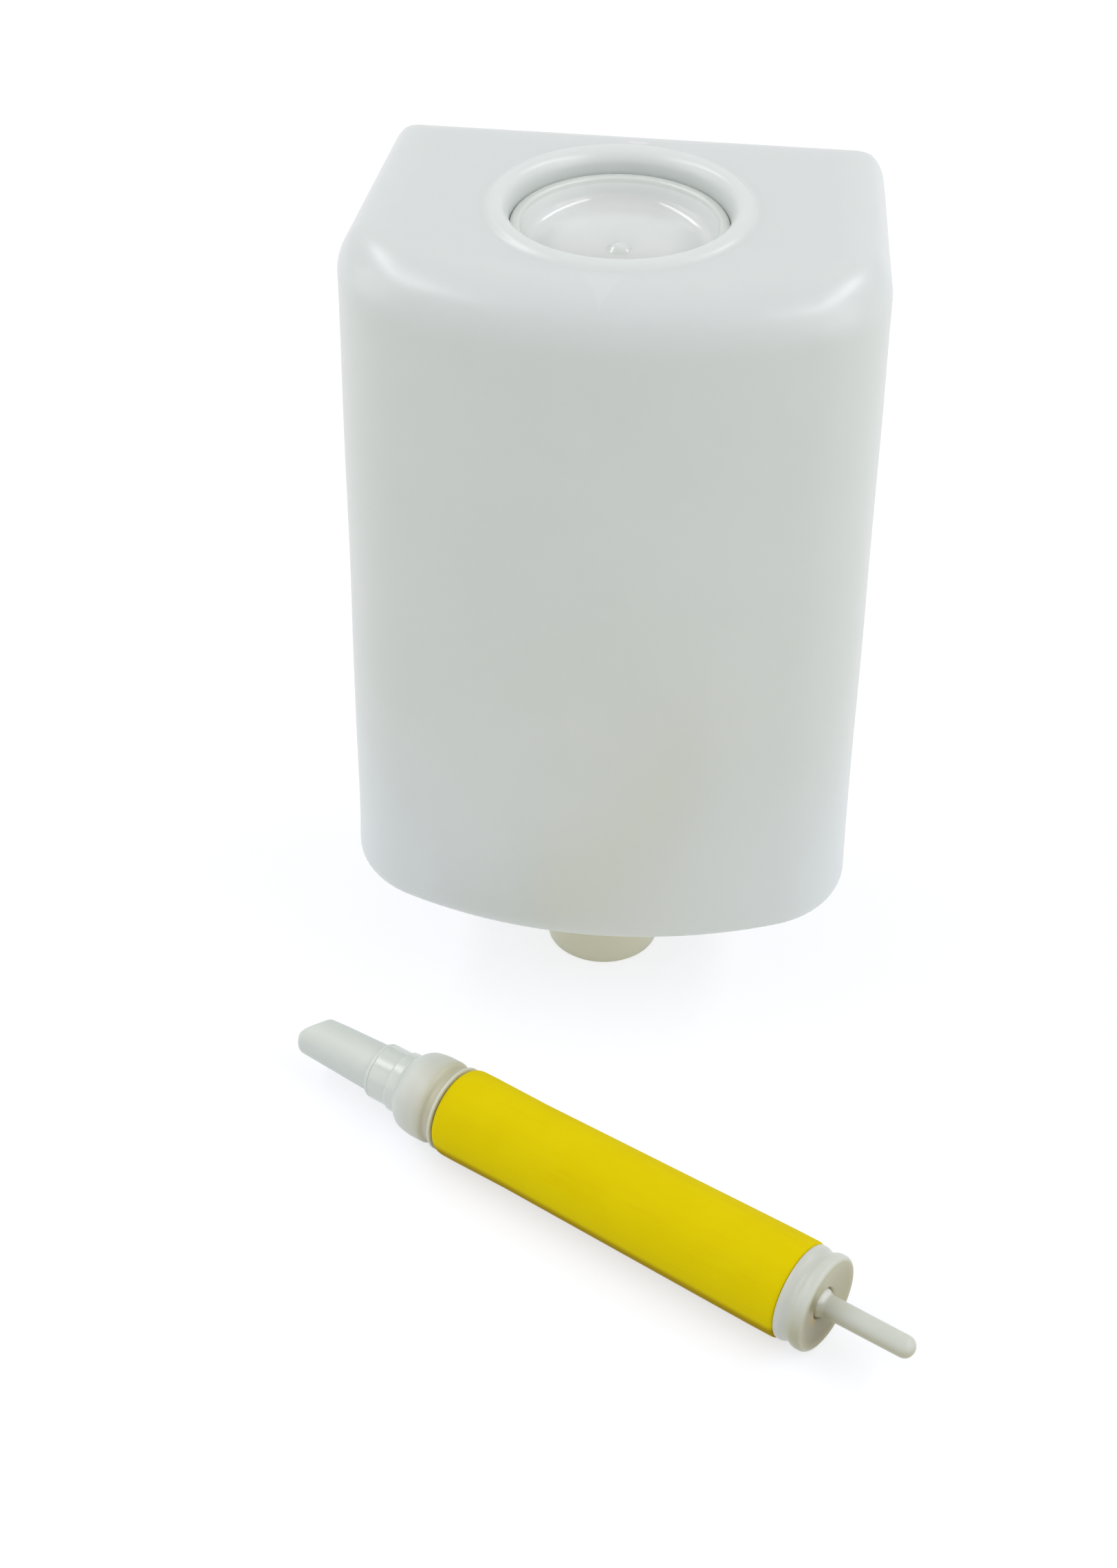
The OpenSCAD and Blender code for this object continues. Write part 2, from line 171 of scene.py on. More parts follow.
class Finish:
    """A procedural material on a Principled shader."""

    def __init__(self, name, **constants):
        self.material = bpy.data.materials.new(name)
        self.material.use_nodes = True
        self.tree = self.material.node_tree
        self.shader = self.tree.nodes["Principled BSDF"]
        for socket, value in constants.items():
            self.shader.inputs[socket.replace("_", " ")].default_value = value
        self.place = self.node("TexCoord", output="Object")

    def node(self, kind, settings=None, inputs=None, output=0):
        """Adds a node, gives it its settings and then its sockets' values or links."""
        made = self.tree.nodes.new("ShaderNode" + kind)
        for name, value in (settings or {}).items():
            setattr(made, name, value)
        for name, value in (inputs or {}).items():
            if isinstance(value, Signal):
                self.tree.links.new(value.socket, made.inputs[name])
            else:
                made.inputs[name].default_value = value
        return Signal(self, made.outputs[output])

    def axis(self, name, place=None):
        """One coordinate, X, Y or Z, of a place."""
        return self.node("SeparateXYZ", inputs={0: place or self.place}, output=name)

    def on_axis(self, matrix):
        """Places in a turned piece's own frame, whose Z is the piece's axis."""
        inverse = matrix.inverted()
        return self.node("Mapping", {"vector_type": "POINT"},
                         {0: self.place, "Location": inverse.to_translation(),
                          "Rotation": inverse.to_euler("XYZ")})

    def stretched(self, scale, place=None):
        """Places scaled by axis, which draws a pattern out."""
        return self.node("VectorMath", {"operation": "MULTIPLY"}, {0: place or self.place, 1: scale})

    def radius(self, place):
        """Distance from the Z axis of a turned piece's own frame."""
        flat = self.stretched((1.0, 1.0, 0.0), place)
        return self.node("VectorMath", {"operation": "LENGTH"}, {0: flat}, "Value")

    def distance(self, place, centre):
        """Distance of a place from a centre."""
        return self.node("VectorMath", {"operation": "DISTANCE"}, {0: place, 1: centre}, "Value")

    def oval_distance(self, centre, proportions):
        """Distance from a centre, with each axis divided by its proportion."""
        inside = self.node("Mapping", {"vector_type": "TEXTURE"},
                           {0: self.place, "Scale": proportions, "Location": centre})
        return self.node("VectorMath", {"operation": "LENGTH"}, {0: inside}, "Value")

    def grain(self, size, detail=2.0, place=None):
        """Noise from 0 to 1 with spots of about that size."""
        return self.node("TexNoise", inputs={"Vector": place or self.place, "Scale": 1 / size,
                                             "Detail": detail})

    def specks(self, pitch, radius, share, place=None):
        """1 inside round specks that fill that share of the cells of a loose grid."""
        cells = {"Vector": place or self.place, "Scale": 1 / pitch}
        distance = self.node("TexVoronoi", {"feature": "F1"}, cells, "Distance")
        colour = self.node("TexVoronoi", {"feature": "F1"}, cells, "Color")
        chosen = self.axis("X", colour).above(1 - share, 0.001)
        soft_edge = 0.4 * radius / pitch
        return distance.below(radius / pitch, soft_edge) * chosen

    def wedge(self, middle, back, front, half_width):
        """1 inside a soft-edged wedge on the bottle's top that points to the front."""
        along = self.axis("Y")
        narrowing = (along - front) / (back - front) * half_width
        inside = (abs(self.axis("X") - middle) - narrowing).below(-1.0 * MM, 1.4 * MM)
        on_top = self.axis("Z").above(TOP_Z - 5 * MM, 0.5 * MM)
        return inside * along.below(back - 2 * MM, 5 * MM) * on_top

    def blend(self, factor, first, second):
        """A colour that goes from the first to the second with the factor."""
        return self.node("Mix", {"data_type": "RGBA"}, {0: factor, 6: first, 7: second}, 2)

    def colour(self, tint, *layers):
        """Lays (share, colour) layers over a tint, one on another, and sets the base colour."""
        for share, laid in layers:
            tint = self.blend(share, tint, laid)
        self.tree.links.new(tint.socket, self.shader.inputs["Base Color"])

    def roughness(self, signal):
        self.tree.links.new(signal.socket, self.shader.inputs["Roughness"])

    def relief(self, *layers):
        """Bump from (height from 0 to 1, depth in metres) layers, one on another."""
        normal = None
        for height, depth in layers:
            inputs = {"Height": height, "Distance": depth, "Strength": 1.0}
            if normal:
                inputs["Normal"] = normal
            normal = self.node("Bump", inputs=inputs)
        self.tree.links.new(normal.socket, self.shader.inputs["Normal"])


def paint(red, green, blue):
    """A colour from its 0 to 255 display values, by the display's own curve."""
    def linear(value):
        part = value / 255
        return part / 12.92 if part <= 0.04045 else ((part + 0.055) / 1.055) ** 2.4
    return (linear(red), linear(green), linear(blue), 1.0)


# ---------------------------------------------------------------- mesh tools
def finished(mesh, name, body, material, replaced):
    """Makes a piece of the mesh, gives it its material and hangs it on its body."""
    bmesh.ops.remove_doubles(mesh, verts=mesh.verts, dist=SAME_POINT)
    bmesh.ops.recalc_face_normals(mesh, faces=mesh.faces)
    for face in mesh.faces:
        face.smooth = True
    for edge in mesh.edges:
        edge.smooth = edge.calc_face_angle(0.0) < SHARP_ANGLE
    data = bpy.data.meshes.new(name)
    mesh.to_mesh(data)
    mesh.free()
    data.materials.append(material)
    piece = bpy.data.objects.new(name, data)
    bpy.context.scene.collection.objects.link(piece)
    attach(piece, body)
    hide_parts(replaced)
    return piece


def round_off(mesh, corner, size, steps=5):
    """Rounds one corner of an open outline."""
    bmesh.ops.bevel(mesh, geom=[corner], offset=size, offset_type="OFFSET", segments=steps,
                    profile=0.5, affect="VERTICES", material=-1, clamp_overlap=True)


def turned(outline, steps, place=Matrix.Identity(4)):
    """A solid of revolution about Z. The outline's corners are (radius, height) in millimetres,
    with a third number where the corner is rounded; it is closed if it starts off the axis."""
    mesh = bmesh.new()
    corners = [mesh.verts.new((corner[0] * MM, 0, corner[1] * MM)) for corner in outline]
    closed = outline[0][0] > 0
    for first, second in zip(corners, corners[1:] + corners[:1] * closed):
        mesh.edges.new((first, second))
    for corner, sizes in zip(corners, outline):
        if len(sizes) > 2:
            round_off(mesh, corner, sizes[2] * MM)
    bmesh.ops.spin(mesh, geom=mesh.verts[:] + mesh.edges[:], cent=(0, 0, 0), axis=UP, angle=FULL_TURN,
                   steps=steps, use_merge=True)
    bmesh.ops.transform(mesh, matrix=place, verts=mesh.verts)
    return mesh


# ---------------------------------------------------------------- camera, floor and light
SENSOR_WIDTH, FOCAL_LENGTH = 36, 66.3
CLIP_START, CLIP_END = 0.05, 20
CAMERA_PLACE = (0.0428, -0.4885, 0.4249)
CAMERA_RIGHT = (0.9933, 0.1152, 0.0091)
CAMERA_FORWARD = (-0.0851, 0.7824, -0.6169)

WHITE = (1.0, 1.0, 1.0, 1.0)
WORLD_LIGHT = 0.56
LAMP_TARGET = (0, -0.02, 0.1)
# Name, place, width, height and watts
LAMPS = (("right_key", (0.75, -0.06, 0.88), 1.30, 0.18, 3.0),
         ("left_key", (-0.74, -0.02, 0.95), 1.30, 0.18, 2.8),
         ("right_fill", (0.95, -0.45, 0.36), 0.90, 0.80, 1.7),
         ("left_fill", (-0.95, -0.20, 0.34), 0.80, 0.70, 1.2))

FLOOR_REACH = 4
FLOOR_LIGHT = paint(226, 230, 233)
FLOOR_SHOWN = (0.46, 0.47, 0.52, 1.0)
# The distances from the origin between which the floor's glow rises, and its strengths there
FLOOR_GLOW = {"From Min": 0.25, "From Max": 0.9, "To Min": 0.64, "To Max": 0.8}


def aim_camera():
    """The view from above the bottle's bowed front."""
    lens = bpy.data.cameras.new("camera")
    lens.sensor_width = SENSOR_WIDTH
    lens.lens = FOCAL_LENGTH
    lens.clip_start = CLIP_START
    lens.clip_end = CLIP_END
    camera = bpy.data.objects.new("camera", lens)
    bpy.context.scene.collection.objects.link(camera)
    right = Vector(CAMERA_RIGHT).normalized()
    forward = Vector(CAMERA_FORWARD).normalized()
    right = (right - forward * right.dot(forward)).normalized()
    turn = Matrix((right, right.cross(forward), -forward)).transposed()
    camera.matrix_world = Matrix.Translation(CAMERA_PLACE) @ turn.to_4x4()
    bpy.context.scene.camera = camera


def seen_directly(tree):
    """1 for what the camera sees, itself or in gloss and glass, and 0 for light on the object."""
    path = tree.nodes.new("ShaderNodeLightPath")
    total = path.outputs["Is Camera Ray"]
    for ray in ("Is Glossy Ray", "Is Transmission Ray"):
        larger = tree.nodes.new("ShaderNodeMath")
        larger.operation = "MAXIMUM"
        tree.links.new(total, larger.inputs[0])
        tree.links.new(path.outputs[ray], larger.inputs[1])
        total = larger.outputs[0]
    return total


def light_or_show(tree, light, shown, output):
    """Joins the shader that lights the object and the one that is seen, into the tree's output."""
    either = tree.nodes.new("ShaderNodeMixShader")
    tree.links.new(seen_directly(tree), either.inputs[0])
    tree.links.new(light.outputs[0], either.inputs[1])
    tree.links.new(shown.outputs[0], either.inputs[2])
    tree.links.new(either.outputs[0], tree.nodes[output].inputs["Surface"])


def light_world():
    """An even surround that is seen as white and lights the object less strongly."""
    world = bpy.data.worlds.new("studio")
    bpy.context.scene.world = world
    world.use_nodes = True
    tree = world.node_tree
    light = tree.nodes["Background"]
    light.inputs["Color"].default_value = WHITE
    light.inputs["Strength"].default_value = WORLD_LIGHT
    shown = tree.nodes.new("ShaderNodeBackground")
    shown.inputs["Color"].default_value = WHITE
    light_or_show(tree, light, shown, "World Output")


def light_lamps():
    """Rectangular lamps that face the object: two long, narrow keys high up at the sides, and two
    large fills lower down."""
    for name, place, width, height, power in LAMPS:
        lamp = bpy.data.lights.new(name, "AREA")
        lamp.shape = "RECTANGLE"
        lamp.size = width
        lamp.size_y = height
        lamp.energy = power
        holder = bpy.data.objects.new(name, lamp)
        holder.location = place
        aim = Vector(LAMP_TARGET) - Vector(place)
        holder.rotation_euler = aim.to_track_quat("-Z", "Y").to_euler()
        bpy.context.scene.collection.objects.link(holder)


def pale_floor():
    """A pale matt surface that shows white, more so farther out, under the object's soft shadow."""
    material = bpy.data.materials.new("pale_floor")
    material.use_nodes = True
    tree = material.node_tree
    tree.nodes.remove(tree.nodes["Principled BSDF"])
    light = tree.nodes.new("ShaderNodeBsdfDiffuse")
    light.inputs["Color"].default_value = FLOOR_LIGHT
    matt = tree.nodes.new("ShaderNodeBsdfDiffuse")
    matt.inputs["Color"].default_value = FLOOR_SHOWN
    place = tree.nodes.new("ShaderNodeTexCoord")
    distance = tree.nodes.new("ShaderNodeVectorMath")
    distance.operation = "LENGTH"
    tree.links.new(place.outputs["Object"], distance.inputs[0])
    rise = tree.nodes.new("ShaderNodeMapRange")
    for name, value in FLOOR_GLOW.items():
        rise.inputs[name].default_value = value
    tree.links.new(distance.outputs["Value"], rise.inputs["Value"])
    glow = tree.nodes.new("ShaderNodeEmission")
    tree.links.new(rise.outputs[0], glow.inputs["Strength"])
    shown = tree.nodes.new("ShaderNodeAddShader")
    tree.links.new(matt.outputs[0], shown.inputs[0])
    tree.links.new(glow.outputs[0], shown.inputs[1])
    light_or_show(tree, light, shown, "Material Output")
    return material


def lay_floor():
    mesh = bmesh.new()
    bmesh.ops.create_grid(mesh, x_segments=1, y_segments=1, size=FLOOR_REACH)
    data = bpy.data.meshes.new("floor")
    mesh.to_mesh(data)
    mesh.free()
    data.materials.append(pale_floor())
    floor = bpy.data.objects.new("floor", data)
    bpy.context.scene.collection.objects.link(floor)


# ---------------------------------------------------------------- finishes
def natural_plastic():
    """Milky blow-moulded polyethylene: satin, pebbled and faintly cloudy, with painted light: paler
    and bluer low down, bluer on the top and a warm bounce in the neck; with a small pale spot at
    the back of the top, a faint wedge and a few specks."""
    finish = Finish("natural_plastic", IOR=1.5, Specular_IOR_Level=1.0, Subsurface_Weight=0.4,
                    Subsurface_Radius=(0.008, 0.008, 0.007), Subsurface_Scale=1.0)
    clouds = finish.grain(38 * MM, 3.0)
    streaks = finish.grain(9 * MM, 2.0, finish.stretched((1.0, 1.0, 0.16)))
    level = finish.axis("Z")
    # Painted light: the lower walls are painted paler and bluer.
    low = level.below(BASE_Z + 8 * MM, 55 * MM)
    # Painted light: the top is painted bluer, as cool light from above would make it.
    painted_top_light = level.above(TOP_Z - 14 * MM, 12 * MM)
    # Painted light: the neck is painted a warm pale yellow, a painted warm bounce in its shade.
    neck = level.below(BASE_Z - 4 * MM, 5 * MM)
    # A small near-white spot at the back centre of the top.
    pale_back_spot = finish.oval_distance((0.8 * MM, 27.5 * MM, TOP_Z), (2.0, 0.7, 1.0)).below(0.7 * MM, 0.6 * MM)
    wedge = finish.wedge(-0.4 * MM, -27 * MM, -34.6 * MM, 4.2 * MM)
    dirt = finish.specks(14 * MM, 0.22 * MM, 0.1)
    finish.colour(finish.blend(clouds.above(0.3, 0.4), paint(229, 234, 224), paint(233, 237, 228)),
                  (streaks * 0.25, paint(226, 231, 221)),
                  (low * 0.6, paint(238, 246, 249)),
                  (painted_top_light * 0.7, paint(230, 237, 237)),
                  (neck, paint(242, 238, 206)),
                  (pale_back_spot * 0.6, paint(252, 253, 251)),
                  (wedge * 0.28, paint(244, 247, 245)),
                  (dirt * 0.25, paint(176, 174, 164)))
    finish.roughness(0.285 + clouds * 0.04 + finish.grain(6 * MM) * 0.02)
    finish.relief((finish.grain(1.8 * MM), 0.012 * MM), (streaks, 0.04 * MM), (clouds, 0.25 * MM))
    return finish.material


def lid_plastic():
    """Glossier moulded lid: its bowl is greyer at the front and painted paler at the back, with a
    little warm painted shade at the foot of the back and an even painted highlight on its rim."""
    finish = Finish("lid_plastic", IOR=1.5, Specular_IOR_Level=1.0, Subsurface_Weight=0.4,
                    Subsurface_Radius=(0.006, 0.006, 0.005), Subsurface_Scale=1.0)
    clouds = finish.grain(9 * MM)
    along = finish.axis("Y")
    level = finish.axis("Z") - (TOP_Z - LID_DROP)
    # Painted light: the back of the bowl is painted paler than its front.
    back = along.above(-12 * MM, 22 * MM)
    # Painted highlight: the rim and the top of the wall are painted lighter all round.
    rim = level.above(-1.4 * MM, 0.6 * MM)
    # Painted shade: the foot of the back wall is painted darker and warmer.
    foot = level.below(-3.9 * MM, 1.0 * MM) * along.above(12 * MM, 5 * MM)
    finish.colour(finish.blend(clouds, paint(200, 204, 199), paint(205, 209, 204)),
                  (back, paint(250, 254, 251)),
                  (rim, paint(228, 233, 227)),
                  (foot * 0.15, paint(176, 170, 154)))
    finish.roughness(0.13 + clouds * 0.05)
    finish.relief((finish.grain(1.5 * MM), 0.01 * MM), (clouds, 0.05 * MM))
    return finish.material


def yellow_rubber(place):
    """Dipped yellow rubber: satin, faintly dusty, with painted shade underneath and fine marks
    along the tube.
    """
    finish = Finish("yellow_rubber", IOR=1.47, Specular_IOR_Level=0.05)
    local = finish.on_axis(place)
    dust = finish.grain(9 * MM, 3.0)
    drawn = finish.grain(1.6 * MM, 3.0, finish.stretched((1.0, 1.0, 0.12), local))
    # Painted shade: the underside is painted a deeper yellow.
    under = finish.axis("X", local).above(1.0 * MM, 2.6 * MM)
    marks = finish.specks(7 * MM, 0.22 * MM, 0.2, local)
    finish.colour(finish.blend(dust.above(0.3, 0.4), paint(232, 209, 0), paint(234, 212, 3)),
                  (drawn.above(0.55, 0.2) * 0.2, paint(224, 196, 0)),
                  (under, paint(176, 148, 0)),
                  (marks * 0.7, paint(120, 98, 20)))
    finish.roughness(0.6 + dust * 0.12)
    finish.relief((finish.grain(0.35 * MM, 3.0), 0.012 * MM), (drawn, 0.02 * MM))
    return finish.material


# Constants of the two plastics of the valve's ends
VALVE_PLASTIC = {"IOR": 1.49, "Subsurface_Weight": 0.35, "Subsurface_Scale": 1.0,
                 "Subsurface_Radius": (0.003, 0.003, 0.0024)}


def moulded_grain(finish, local):
    """Flow lines along the valve, which also give the relief, and their sum with soft clouds."""
    flow = finish.grain(2.4 * MM, 3.0, finish.stretched((1.0, 1.0, 0.3), local))
    finish.relief((finish.grain(0.4 * MM), 0.006 * MM), (flow, 0.02 * MM))
    return flow, finish.grain(5 * MM) * 0.6 + flow * 0.4


def cloudy_spigot(place):
    """Cloudy moulded plastic: dull, but glossy on the stepped collar, with warm painted shade from the
    flange on and painted shade deepest in the groove."""
    finish = Finish("clear_plastic", Specular_IOR_Level=1.0, **VALVE_PLASTIC)
    local = finish.on_axis(place)
    station = finish.axis("Z", local)
    flow, mottle = moulded_grain(finish, local)
    # Painted shade: the plastic is painted warmer and darker from the flange on.
    painted_warm_shade = station.above(-10 * MM, 5 * MM)
    # Painted shade: the groove is painted deepest.
    groove = station.above(-5.2 * MM, 3.0 * MM) * station.below((LIP + 0.05) * MM, 0.1 * MM)
    collar = station.above((COLLAR - 0.1) * MM, 0.4 * MM) * station.below((FLANGE - 0.1) * MM, 0.8 * MM)
    finish.colour(finish.blend(mottle, paint(219, 225, 220), paint(211, 216, 209)),
                  (painted_warm_shade * 0.6, paint(206, 204, 188)),
                  (groove * 0.75, paint(196, 190, 156)))
    finish.roughness(0.42 - collar * 0.24 + flow * 0.04)
    return finish.material


def ivory_plastic(place):
    """Milky moulded plastic with painted light. On the outlet plug, painted shade deepens the dished
    end face and the underside, with a dark painted shadow and a painted yellow glow on one side of
    the pin; on the pin, painted shade deepens the underside and the knuckle, whose top has a
    painted highlight."""
    finish = Finish("ivory_plastic", **VALVE_PLASTIC)
    local = finish.on_axis(place)
    station = finish.axis("Z", local)
    across = finish.radius(local)
    down = finish.axis("X", local)
    low_side = down * 0.5 - finish.axis("Y", local) * 0.87
    flow, mottle = moulded_grain(finish, local)

    face = station.above(FACE_START * MM, 0.5 * MM)
    plug = across.above(3.05 * MM, 0.3 * MM)
    pin = 1 - plug
    # Painted shade: the dished end face is painted beige.
    dished = face * plug * across.below(9.0 * MM, 0.9 * MM)
    # Painted shadow: a dark patch is painted on the end face on the lower side of the pin's root.
    hollow = dished * across.below(7.5 * MM, 2.5 * MM) * low_side.above(-0.5 * MM, 2.5 * MM)
    # Painted light: a yellow glow is painted on the end face beside the pin's root.
    glow = finish.distance(local, (0.8 * MM, -3.7 * MM, 88.3 * MM)).below(0.8 * MM, 1.6 * MM) * face
    # Painted shade: the pin's underside is painted beige.
    shaft = pin * face * down.above(-1.6 * MM, 1.8 * MM)
    # Painted shade: the underside of the plug's head is painted beige.
    painted_skirt_shade = (plug * down.above(-8.0 * MM, 9 * MM) * (1 - dished)
             * station.above(84.5 * MM, 2.5 * MM))
    # Painted shade: the knuckle is painted darker.
    knuckle = pin * face * station.below(KNUCKLE_END * MM, 0.7 * MM)
    # Painted highlight: the top of the knuckle is painted pale.
    cap = knuckle * down.below(-2.3 * MM, 0.7 * MM)
    finish.colour(finish.blend(mottle, paint(217, 220, 214), paint(209, 211, 199)),
                  (dished, paint(184, 180, 148)),
                  (hollow * 0.6, paint(126, 115, 84)),
                  (glow * 0.6, paint(180, 148, 30)),
                  (shaft * 0.8, paint(190, 187, 158)),
                  (painted_skirt_shade * 0.85, paint(176, 173, 140)),
                  (knuckle * 0.4, paint(176, 171, 142)),
                  (cap, paint(236, 239, 233)))
    finish.roughness(0.3 + flow * 0.08)
    return finish.material


def mottled(name, spot, detail, first, second, smoothest, spread, depth, **constants):
    """A finish whose colour, roughness and relief all follow one grain."""
    finish = Finish(name, **constants)
    grain = finish.grain(spot, detail)
    finish.colour(finish.blend(grain, first, second))
    finish.roughness(smoothest + grain * spread)
    finish.relief((grain, depth))
    return finish.material


def bush_rubber():
    """Dull grey rubber."""
    return mottled("bush_rubber", 1.2 * MM, 4.0, paint(128, 128, 122), paint(150, 150, 142),
                   0.62, 0.2, 0.02 * MM, IOR=1.5)


def ball_glass():
    """Ground glass ball."""
    return mottled("ball_glass", 0.6 * MM, 2.0, paint(214, 226, 222), paint(230, 238, 236),
                   0.08, 0.12, 0.004 * MM, IOR=1.5, Transmission_Weight=0.6)


def spring_steel():
    """Drawn and bright stainless steel."""
    return mottled("spring_steel", 0.8 * MM, 3.0, paint(172, 174, 178), paint(206, 208, 210),
                   0.22, 0.2, 0.006 * MM, Metallic=1.0)


# ---------------------------------------------------------------- bottle
def swing(mesh, corner, centre, angle, steps):
    """Draws an arc from a corner about an upright axis, and gives its last corner."""
    made = bmesh.ops.spin(mesh, geom=[corner], cent=(centre[0], centre[1], 0), axis=UP, angle=angle,
                          steps=steps)
    return made["geom_last"][0]


def run_on(mesh, corner, place, steps):
    """Draws a straight line of short edges from a corner, and gives its last corner."""
    start = corner.co.copy()
    for step in range(1, steps + 1):
        following = mesh.verts.new(start.lerp(Vector(place), step / steps))
        mesh.edges.new((corner, following))
        corner = following
    return corner


def plan_ring(mesh, inset, level):
    """Adds the bottle's plan, moved inwards by the inset, as a closed ring."""
    back_r = max(BACK_CORNER_R, inset + SHARPEST_R)
    back_x = HALF_W - BACK_NARROWING - back_r
    back_y = HALF_D - back_r
    half = bmesh.new()
    corner = half.verts.new((0, inset - HALF_D, level))
    corner = swing(half, corner, (0, BOW_Y), BOW_TURN, BOW_STEPS)
    corner = swing(half, corner, (CORNER_X, CORNER_Y), QUARTER_TURN - BOW_TURN, CORNER_STEPS)
    corner = run_on(half, corner, (back_x + back_r - inset, back_y, level), SIDE_STEPS)
    corner = swing(half, corner, (back_x, back_y), QUARTER_TURN, BACK_CORNER_STEPS)
    run_on(half, corner, (0, back_y + back_r - inset, level), BACK_STEPS)
    bmesh.ops.mirror(half, geom=half.verts[:] + half.edges[:], matrix=Matrix.Identity(4),
                     merge_dist=SAME_MIRRORED, axis="X")
    drawn = bpy.data.meshes.new("plan_ring")
    half.to_mesh(drawn)
    half.free()
    mesh.from_mesh(drawn)
    bpy.data.meshes.remove(drawn)


def round_ring(mesh, radius, level):
    """Adds a circle about the neck's axis."""
    bmesh.ops.create_circle(mesh, cap_ends=False, radius=radius, segments=PLAN_STEPS,
                            matrix=Matrix.Translation((0, 0, level)))


def quarter(steps):
    """The angles of a quarter turn, in even steps."""
    return [QUARTER_TURN * step / steps for step in range(steps + 1)]


def edge_rings(inset, edge_steps):
    """Insets and levels of the plans that make the bottle's form, from the flat of its base to the
    flat of its top, with the whole form moved inwards by the inset."""
    base_r = BASE_EDGE_R - inset
    top_r = TOP_EDGE_R - inset
    wall_low, wall_high, bands = BASE_Z + BASE_EDGE_R, TOP_Z - TOP_EDGE_R, 24
    for t in reversed(quarter(edge_steps)):
        yield BASE_EDGE_R - base_r * math.cos(t), wall_low - base_r * math.sin(t)
    for band in range(1, bands):
        yield inset, wall_low + (wall_high - wall_low) * band / bands
    for t in quarter(edge_steps):
        yield TOP_EDGE_R - top_r * math.cos(t), wall_high + top_r * math.sin(t)


def bottle_rings():
    """Every ring of the shell, from the neck's mouth over the outside and back through the inside."""
    edge, foot_r, foot_rise = 0.3 * MM, 1.1 * MM, 0.3 * RING_RISE
    yield round_ring, NECK_R - edge, 0.0
    yield round_ring, NECK_R, edge
    yield round_ring, NECK_R, (BASE_Z - NECK_SWEEP_R) / 2
    for t in quarter(6):
        yield (round_ring, NECK_R + NECK_SWEEP_R * (1 - math.cos(t)),
               BASE_Z - NECK_SWEEP_R * (1 - math.sin(t)))
    yield round_ring, NECK_R + NECK_SWEEP_R + edge, BASE_Z
    for inset, level in edge_rings(0, 10):
        yield plan_ring, inset, level

    # The filler ring: a soft foot, a round bead and a long inner slope down to the lid's seat
    yield round_ring, RING_R + foot_r, TOP_Z
    for share in (0.35, 0.7):
        yield round_ring, RING_R + foot_r * (1 - share), TOP_Z + foot_rise * share ** 2
    bead_mid, bead_half = (RING_R + MOUTH_R) / 2, (RING_R - MOUTH_R) / 2
    inner_drop = RING_RISE + 2.4 * MM
    for step in range(3, 21):
        t = math.pi * step / 20
        level = TOP_Z + RING_RISE * math.sin(t)
        if t > QUARTER_TURN:
            level = TOP_Z + RING_RISE - inner_drop * (1 - math.sin(t))
        yield round_ring, bead_mid + bead_half * math.cos(t), level
    shoulder = TOP_Z - LID_DROP - LID_RIM_T
    yield round_ring, MOUTH_R, shoulder
    yield round_ring, SEAT_R, shoulder
    yield round_ring, SEAT_R, shoulder - COLLAR_LEN
    yield round_ring, COLLAR_R, shoulder - COLLAR_LEN
    yield round_ring, COLLAR_R, TOP_Z - WALL

    for inset, level in reversed(list(edge_rings(WALL, 4))):
        yield plan_ring, inset, level
    yield round_ring, NECK_BORE_R, BASE_Z + WALL
    yield round_ring, NECK_BORE_R, edge
    yield round_ring, NECK_BORE_R + edge, 0.0


def join_rings(mesh, rings):
    """Draws the rings well apart, joins each to the one before and the last to the first, and then
    brings each to its own level."""
    apart = 10 * MM
    first, last, moves = None, [], []
    for count, (draw, size, level) in enumerate(rings):
        draw(mesh, size, count * apart)
        known = set(last)
        ring = [edge for edge in mesh.edges if edge.is_wire and edge not in known]
        moves.append((list({vert for edge in ring for vert in edge.verts}), level - count * apart))
        if last:
            bmesh.ops.bridge_loops(mesh, edges=last + ring)
        first = first or ring
        last = ring
    bmesh.ops.bridge_loops(mesh, edges=last + first)
    for verts, lift in moves:
        bmesh.ops.translate(mesh, verts=verts, vec=(0, 0, lift))


def soften_walls(mesh):
    """Draws the moulded walls in by a few tenths of a millimetre here and there."""
    wave, depth, edge_band, still_r = 42 * MM, 0.45 * MM, 12 * MM, RING_R + 5 * MM
    for vert in mesh.verts:
        level = vert.co.z
        share = min(1, max(0, level - BASE_Z) / edge_band) * min(1, max(0, TOP_Z - level) / edge_band)
        if share > 0 and math.hypot(vert.co.x, vert.co.y) > still_r:
            inward = Vector((vert.co.x / HALF_W ** 2, vert.co.y / HALF_D ** 2, 0)).normalized()
            swell = 0.5 + 0.5 * noise.noise(vert.co / wave)
            vert.co -= inward * depth * share * swell


def make_bottle(material):
    """The shell, hollow down to the neck's mouth."""
    mesh = bmesh.new()
    join_rings(mesh, bottle_rings())
    soften_walls(mesh)
    finished(mesh, "bottle_shell", "bottle", material, "bottle_body")


def make_lid(material):
    """The dished lid with its rim, its rounded floor and its low knob."""
    floor, wall, rim_t = -5.5, 1.2, 1.2
    bowl_r, side_r, rim_r = 18.8, 20.0, 20.8
    knob = [(0, 1.2), (0.8, 1.08), (1.5, 0.72), (2.0, 0.32), (2.4, 0, 0.2)]
    outline = [(radius, floor + rise, *rounding) for radius, rise, *rounding in knob]
    outline += [(bowl_r, floor, 3.2), (bowl_r, 0, 0.5), (rim_r, 0, 0.8), (rim_r, -rim_t),
                (side_r, -rim_t), (side_r, floor - wall, 2.8), (0, floor - wall)]
    mesh = turned(outline, 128, Matrix.Translation((0, 0, TOP_Z - LID_DROP)))
    finished(mesh, "lid_cup", "lid", material, "filler_lid")


